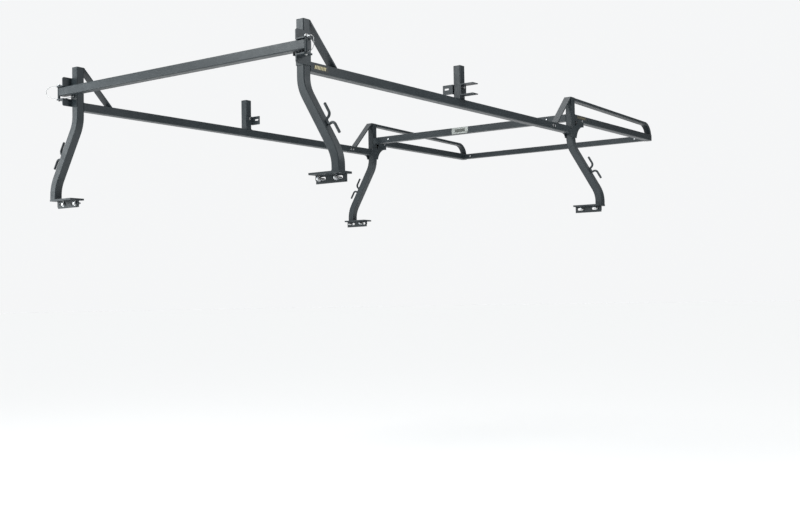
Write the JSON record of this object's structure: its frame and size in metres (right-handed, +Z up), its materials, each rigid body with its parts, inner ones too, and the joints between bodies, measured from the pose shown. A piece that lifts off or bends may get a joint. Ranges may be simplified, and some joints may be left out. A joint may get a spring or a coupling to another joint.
{
  "type": "truck ladder rack",
  "caption": "Over-cab ladder rack for a service-body pickup: cranked posts on bolted feet, side rails, cab guard hoops and a rear crossbar on pull pins that swings aside.",
  "frame": {"origin": "on the vehicle's centre line, under the rear faces of the rear posts, at the level of the feet's undersides on the service body", "axes": "+X forward along the vehicle, +Y to the left, +Z up"},
  "size_m": [3.8059, 1.989, 0.7285],
  "materials": {
    "powder_coat": "charcoal satin powder coat",
    "zinc_plate": "bright zinc plating",
    "wire_steel": "stranded wire and pressed steel",
    "info_plate": "brushed, blank",
    "sticker": "matt film, blank"
  },
  "bodies": {
    "rack": {"post_rear_left": "powder_coat", "post_rear_right": "powder_coat", "post_front_left": "powder_coat", "post_front_right": "powder_coat", "post_caps": "powder_coat", "foot_rear_left": "powder_coat", "foot_rear_right": "powder_coat", "foot_front_left": "powder_coat", "foot_front_right": "powder_coat", "foot_bolts": "zinc_plate", "foot_washers": "zinc_plate", "side_rail_left": "powder_coat", "side_rail_right": "powder_coat", "rail_sleeves": "powder_coat", "splice_bolts": "zinc_plate", "rear_brace_left": "powder_coat", "rear_brace_right": "powder_coat", "front_brace_left": "powder_coat", "front_brace_right": "powder_coat", "hoop_left": "powder_coat", "hoop_right": "powder_coat", "cab_rail_left": "powder_coat", "cab_rail_right": "powder_coat", "cab_rail_caps": "powder_coat", "gusset_left": "powder_coat", "gusset_right": "powder_coat", "gusset_bolts": "zinc_plate", "front_crossbar": "powder_coat", "crossbar_stubs": "powder_coat", "crossbar_sleeves": "powder_coat", "crossbar_bolts": "zinc_plate", "header_bar": "powder_coat", "header_stubs": "powder_coat", "header_sleeves": "powder_coat", "header_bolts": "zinc_plate", "bar_bracket_left": "powder_coat", "bar_bracket_right": "powder_coat", "lanyard_tags": "wire_steel", "lanyard_anchors": "powder_coat", "lanyard_left": "wire_steel", "lanyard_right": "wire_steel", "stake_left": "powder_coat", "stake_right": "powder_coat", "stake_caps": "powder_coat", "stake_angle_left": "powder_coat", "stake_angle_right": "powder_coat", "stake_channel": "powder_coat", "stake_bolts": "zinc_plate", "cleat_rear_left": "powder_coat", "cleat_rear_right": "powder_coat", "cleat_front_left": "powder_coat", "cleat_front_right": "powder_coat", "spec_plate": "info_plate", "decals": "sticker"},
    "rear_crossbar": {"rear_bar": "powder_coat", "bar_end_left": "powder_coat", "bar_end_right": "powder_coat"},
    "left_pin": {"lock_pin_left": "zinc_plate"},
    "right_pin": {"lock_pin_right": "zinc_plate"}
  },
  "joints": [
    {"name": "rear_bar_swing", "type": "hinge", "parent": "rack", "child": "rear_crossbar", "pos_m": [-0.042, -0.856, 0.56325], "axis": [0, 0, 1], "range_deg": [0, 100]},
    {"name": "left_pin_pull", "type": "slide", "parent": "rack", "child": "left_pin", "axis": [0, 0, 1], "range_m": [0, 0.092]},
    {"name": "right_pin_pull", "type": "slide", "parent": "rack", "child": "right_pin", "axis": [0, 0, 1], "range_m": [0, 0.092]}
  ]
}
